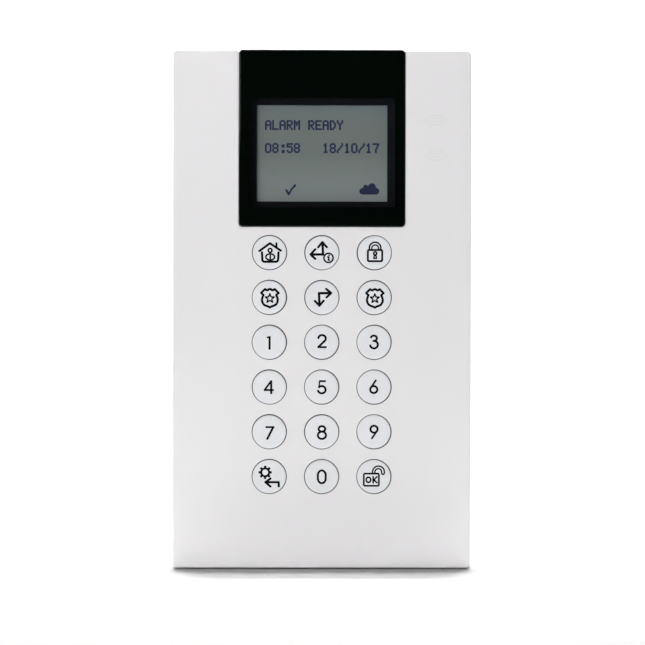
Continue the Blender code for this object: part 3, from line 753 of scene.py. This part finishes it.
def five():
    bowl = arc((0.05, -0.76), (1.12, 1.05), 136, -162)
    return (stroke([(-0.72, 1.72), (1.25, 1.72)], BAR, round_ends=False)
            + lines([(-0.55, 1.7), (-0.75, 0.05)], 0.4)
            + stroke(bowl, DIGIT) + lines([(-0.75, 0.05), bowl[0]], 0.42))


def six():
    return ring((-0.05, -0.74), (1.03, 1.01), DIGIT) + lines([(0.55, 1.92), (-0.88, -0.25)], BAR)


def seven():
    return (stroke([(-1.08, 1.4), (1.5, 1.4)], BAR, round_ends=False)
            + stroke([(1.2, 1.5), (-0.7, -2.25)], DIGIT, round_ends=False))


def eight():
    return ring((0.05, 0.89), (0.95, 0.79), DIGIT) + ring((0.05, -0.96), (1.18, 1.06), DIGIT)


def nine():
    return [[(-x, -y) for x, y in polygon] for polygon in six()]


def zero():
    caps = arc((0.06, 0.38), (1.14, 1.4), 0, 180) + arc((0.06, -0.52), (1.14, 1.4), 180, 360)
    return stroke(caps, DIGIT, closed=True)


LEGENDS = {"home": house, "info": info, "arm": padlock, "emergency_left": shield, "scroll": scroll,
           "emergency_right": shield, "1": one, "2": two, "3": three, "4": four, "5": five, "6": six,
           "7": seven, "8": eight, "9": nine, "menu": gear_and_return, "0": zero, "ok": open_padlock}
# how far each cap sits off the middle of its hole, in millimetres right and up
KEY_PLAY = {"info": (0.05, -0.04), "arm": (0.05, 0.05), "emergency_left": (-0.06, 0.0),
            "scroll": (0.04, -0.04), "1": (-0.05, -0.03), "2": (-0.03, 0.05), "3": (-0.05, 0.0),
            "4": (0.0, -0.05), "5": (-0.05, 0.0), "6": (-0.05, 0.04), "7": (0.0, -0.05), "8": (0.03, -0.04),
            "9": (-0.05, 0.04), "menu": (0.0, -0.04), "ok": (-0.05, 0.0)}


def make_key(name):
    """A white cap on a dark skirt and flange, with the printed legend on top. The skirt is dark as painted
    shade, so that the gap round the cap reads dark.
    """
    body = f"key_{name}"
    lo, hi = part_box(body)
    x, z = key_centre(name)
    play = KEY_PLAY.get(name, (0.0, 0.0))
    centre = (x + play[0] * MM, z + play[1] * MM)
    top = hi.y - lo.y
    rim, cap_depth = 0.18 * MM, 0.9 * MM
    under_cap = top - cap_depth
    place = Matrix.Translation((centre[0], hi.y, centre[1])) @ Matrix.Rotation(math.pi / 2, 4, "X")
    profile = ([(0, top), (KEY_RADIUS - 1.2 * MM, top)] + fillet((KEY_RADIUS - rim, top - rim), rim)
               + [(KEY_RADIUS, under_cap), (0, under_cap)])
    cap = turned(f"{body}_cap", profile, place)
    shade(cap)
    finish_piece(cap, body, MATERIALS["key_white"], "key_white", body)
    # painted shade: the part below the cap is dark so that the gap round each key reads as shaded
    shade_skirt_radius = KEY_RADIUS - 0.05 * MM
    flange_radius = (hi.x - lo.x) / 2 - 0.06 * MM
    flange = top - 2.65 * MM
    profile = [(0, under_cap), (shade_skirt_radius, under_cap), (shade_skirt_radius, flange), (flange_radius, flange),
               (flange_radius, 0), (0, 0)]
    shade_skirt = turned(f"{body}_skirt", profile, place)
    shade(shade_skirt)
    finish_piece(shade_skirt, body, MATERIALS["black_rubber"], "black_rubber")
    legend = printed(f"{body}_legend", LEGENDS[name](), centre, lo.y - 0.012 * MM, 0.02 * MM)
    finish_piece(legend, body, MATERIALS["key_ink"], "key_white")


def make_keymat():
    """The rubber mat: a sheet, and a dome under each key."""
    lo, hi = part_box("keymat")
    sheet_front = hi.y - 0.9 * MM
    sheet = block("keymat_sheet", (lo.x, sheet_front, lo.z), hi, 2 * MM, 0.15 * MM)
    shade(sheet)
    finish_piece(sheet, "case", MATERIALS["silicone"], "silicone", "keymat")
    height = sheet_front - lo.y
    profile = ([(0, height)] + fillet((2.75 * MM, height - 0.25 * MM), 0.25 * MM)
               + [(3.1 * MM, height * 0.55), (4.3 * MM, 0), (0, 0)])
    for name in KEY_LEGENDS:
        x, z = key_centre(name)
        place = Matrix.Translation((x, sheet_front, z)) @ Matrix.Rotation(math.pi / 2, 4, "X")
        dome = turned(f"keymat_dome_{name}", profile, place)
        shade(dome)
        finish_piece(dome, "case", MATERIALS["silicone"], "silicone")
        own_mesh(dome)


# ---------------------------------------------------------------- back and fasteners

THREAD_PITCH = 0.5 * MM
TERMINAL_PITCH = 4.4 * MM


def cut_cross_recess(screw, centre, length, depth):
    """Cuts a driver recess into the back of a screw, one bar of the cross after the other."""
    half, thin = length / 2, length / 7
    for reach in (Vector((half, depth, thin)), Vector((thin, 0.96 * depth, half))):
        cut(screw, block("bar", centre - reach, centre + reach))


def make_housing_screw(number):
    """A countersunk screw with a ridged shank, put in from behind."""
    node = f"housing_screw_{number}"
    lo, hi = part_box(node)
    x, z = centre_of(node)
    head, shank = (hi.x - lo.x) / 2, 1.2 * MM
    length = hi.y - lo.y
    profile = [(0, 0), (head - 0.1 * MM, 0), (head, -0.1 * MM), (head, -0.2 * MM), (shank, -1.3 * MM)]
    depth = 1.6 * MM
    while depth < length - 1.2 * MM:
        profile += [(shank - 0.2 * MM, -depth), (shank, -depth - THREAD_PITCH / 2)]
        depth += THREAD_PITCH
    profile += [(shank - 0.3 * MM, -length + 0.7 * MM), (0.35 * MM, -length), (0, -length)]
    place = Matrix.Translation((x, hi.y, z)) @ Matrix.Rotation(-math.pi / 2, 4, "X")
    screw = turned(f"{node}_finished", profile, place, 32)
    cut_cross_recess(screw, Vector((x, hi.y, z)), 2.6 * MM, 0.8 * MM)
    shade(screw)
    finish_piece(screw, "case", MATERIALS["steel"], "steel", node)


def make_locking_screw():
    """A slotted screw, its head down and its thread up."""
    lo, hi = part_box("locking_screw")
    x, y = (lo.x + hi.x) / 2, (lo.y + hi.y) / 2
    head, shank, height = (hi.x - lo.x) / 2, 1.45 * MM, 1.7 * MM
    length = hi.z - lo.z
    profile = [(0, length), (shank - 0.5 * MM, length), (shank, length - 0.6 * MM)]
    level = length - 0.9 * MM
    while level > height + 0.8 * MM:
        profile += [(shank - 0.25 * MM, level), (shank, level - THREAD_PITCH / 2)]
        level -= THREAD_PITCH
    profile += [(shank, height), (head - 0.15 * MM, height), (head, height - 0.15 * MM)]
    profile += [(head, 0.35 * MM), (head - 0.35 * MM, 0), (0, 0)]
    screw = turned("locking_screw_finished", profile, Matrix.Translation((x, y, lo.z)), 36)
    half_slot = 0.35 * MM
    cut(screw, block("slot", (x - 2 * head, y - half_slot, lo.z - 1 * MM),
                     (x + 2 * head, y + half_slot, lo.z + 0.9 * MM)))
    shade(screw)
    finish_piece(screw, "locking_screw", MATERIALS["steel"], "steel", "locking_screw")


def make_terminal_screws():
    """Slotted clamp screws in the bus terminal's recesses."""
    back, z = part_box("bus_terminal")[1].y - 0.58 * MM, 39.8 * MM
    profile = [(0, 0), (1.05 * MM, 0), (1.2 * MM, -0.12 * MM), (1.2 * MM, -0.5 * MM), (0, -0.5 * MM)]
    for way in range(4):
        x = (way - 1.5) * TERMINAL_PITCH
        place = Matrix.Translation((x, back + 0.5 * MM, z)) @ Matrix.Rotation(-math.pi / 2, 4, "X")
        screw = turned(f"terminal_screw_{way + 1}", profile, place, 32)
        cut(screw, block("slot", (x - 1.3 * MM, back + 0.25 * MM, z - 0.18 * MM),
                         (x + 1.3 * MM, back + 1 * MM, z + 0.18 * MM)))
        shade(screw)
        finish_piece(screw, "case", MATERIALS["steel"], "steel")


# CAD nodes that only need their edges rounded: body, material slot and radius in millimetres
REFINED = {
    "rear_housing": ("case", "satin_case", 0.2), "wall_bracket": ("bracket", "satin_case", 0.25),
    "lcd_bezel": ("case", "black_metal", 0.15), "bus_terminal": ("case", "green_plastic", 0.12),
    "main_board": ("case", "board", 0.08), "microcontroller": ("case", "black_plastic", 0.1),
    "buzzer": ("case", "black_plastic", 0.2), "tamper_switch": ("case", "black_plastic", 0.1),
    "proximity_antenna": ("case", "copper", 0.15), "tamper_plunger": ("tamper_plunger", "grey_plastic", 0.1),
    "captive_washer": ("screw_washer", "black_plastic", 0.08),
}


def make_refined_pieces():
    for node, (body, slot, radius) in REFINED.items():
        finish_piece(refined(node, radius * MM), body, MATERIALS[slot], slot, node)


def make_tamper_spring():
    """The spring under the tamper plunger."""
    bm = bmesh.new()
    bm.from_mesh(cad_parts["tamper_spring"].data)
    bmesh.ops.remove_doubles(bm, verts=bm.verts, dist=0.1 * TINY)
    spring = to_object(bm, "tamper_spring_coil")
    shade(spring)
    finish_piece(spring, "case", MATERIALS["steel"], "steel", "tamper_spring")
    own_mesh(spring)


def dress_plain_nodes():
    """CAD nodes that keep their own shape get their material."""
    for slot, nodes in (("black_foam", ["lens_adhesive"]), ("light_guide", ["lcd_light_guide"]),
                        ("black_rubber", ["lcd_contact_strip"]),
                        ("steel", [f"board_screw_{n}" for n in range(1, 5)])):
        for node in nodes:
            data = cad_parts[node].data
            data.materials.clear()
            data.materials.append(MATERIALS[slot])


# ---------------------------------------------------------------- studio

def area_light(name, place, aim, size, power, spread=180.0):
    """A rectangular light: its size in metres, its power in watts and its spread in degrees."""
    data = bpy.data.lights.new(name, "AREA")
    data.shape = "RECTANGLE"
    data.size, data.size_y = size
    data.energy = power
    data.spread = math.radians(spread)
    light = bpy.data.objects.new(name, data)
    bpy.context.scene.collection.objects.link(light)
    light.location = place
    light.rotation_mode = "QUATERNION"
    light.rotation_quaternion = (Vector(aim) - Vector(place)).to_track_quat("-Z", "Y")
    return light


FLOOR_LEVEL = COVER_LO.z - 0.5 * MM
FLOOR_FRONT = -2.5
FLOOR_BACK = 0.32
WALL = 1.5
STUDIO_SIDE = 2.5


def paper(name, tone):
    """Matt studio paper, with a faint cloudiness."""
    material, shader = new_material(name, (tone, tone, tone), 0.9)
    weave = Weave(material, shader)
    dim, bright = tone - 0.01, tone + 0.01
    weave.link(weave.ramp(weave.noise(0.4, 2.0), ((0.3, (dim, dim, dim)), (0.7, (bright, bright, bright)))),
               shader.inputs["Base Color"])
    return material, shader


def make_floor():
    floor = block("floor", (-STUDIO_SIDE, FLOOR_FRONT, FLOOR_LEVEL - 0.02),
                  (STUDIO_SIDE, FLOOR_BACK, FLOOR_LEVEL))
    material, shader = paper("floor", 0.6)
    shader.inputs["Specular IOR Level"].default_value = 0.1
    floor.data.materials.append(material)
    return floor


def make_backdrop():
    """A lit white wall far behind the floor, seen over and under its edge. It lights nothing else."""
    wall = block("backdrop", (-STUDIO_SIDE, WALL, -1.0), (STUDIO_SIDE, WALL + 0.02, 2.5))
    wall.visible_diffuse = False
    material, shader = paper("backdrop", 0.8)
    shader.inputs["Emission Color"].default_value = (1, 1, 1, 1)
    shader.inputs["Emission Strength"].default_value = 1.2
    wall.data.materials.append(material)


def make_world():
    """A dim room, so that the black lens has nothing bright to mirror."""
    world = bpy.data.worlds.new("studio")
    bpy.context.scene.world = world
    world.use_nodes = True
    room = world.node_tree.nodes["Background"]
    room.inputs["Color"].default_value = (1, 1, 1, 1)
    room.inputs["Strength"].default_value = 0.014


def make_lights(floor):
    """A soft box on the left, narrow fills for the top and the foot, and overhead strips for the floor.

    The rear strip lights the floor alone, so that the back of the case isn't burnt out.
    """
    floor_only = bpy.data.collections.new("floor_only")
    floor_only.objects.link(floor)
    area_light("front", (-0.75, -1.2, 0.35), (0, -0.018, 0), (0.4, 0.5), 12.5)
    area_light("top_fill", (-0.5, -1.2, 0.02), (0, -0.018, 0.12), (0.2, 0.05), 0.0276, 12)
    area_light("overhead_front", (0, 0.065, 1.0), (0, 0.065, 0), (0.3, 0.05), 1.06, 60)
    behind = area_light("overhead_back", (0, 0.22, 1.0), (0, 0.22, 0), (0.3, 0.16), 4.6, 60)
    behind.light_linking.receiver_collection = floor_only
    for name, x in (("foot_left", -0.6), ("foot_right", 0.6)):
        area_light(name, (x, -0.72, -0.062), (0, -0.018, -0.077), (0.09, 0.006), 0.00104, 2.5)


def make_camera():
    """A long lens, one metre in front of the keypad."""
    data = bpy.data.cameras.new("camera")
    data.lens = 188.9
    data.sensor_width = 36.0
    data.clip_start, data.clip_end = 0.05, 20.0
    camera = bpy.data.objects.new("camera", data)
    bpy.context.scene.collection.objects.link(camera)
    yaw, pitch, roll = (math.radians(angle) for angle in (-0.589, -0.867, -0.094))
    camera.location = (-9.9 * MM, -1.0, 11.1 * MM)
    camera.rotation_euler = (Matrix.Rotation(yaw, 4, "Z") @ Matrix.Rotation(math.pi / 2 + pitch, 4, "X")
                             @ Matrix.Rotation(-roll, 4, "Z")).to_euler()
    bpy.context.scene.camera = camera


make_camera()
make_front_cover()
make_proximity_symbol()
make_lens()
make_display()
for key in KEY_LEGENDS:
    make_key(key)
make_keymat()
for screw_number in range(1, 5):
    make_housing_screw(screw_number)
make_locking_screw()
make_terminal_screws()
make_refined_pieces()
make_tamper_spring()
dress_plain_nodes()
studio_floor = make_floor()
make_backdrop()
make_world()
make_lights(studio_floor)
bpy.context.scene.view_settings.view_transform = "Standard"
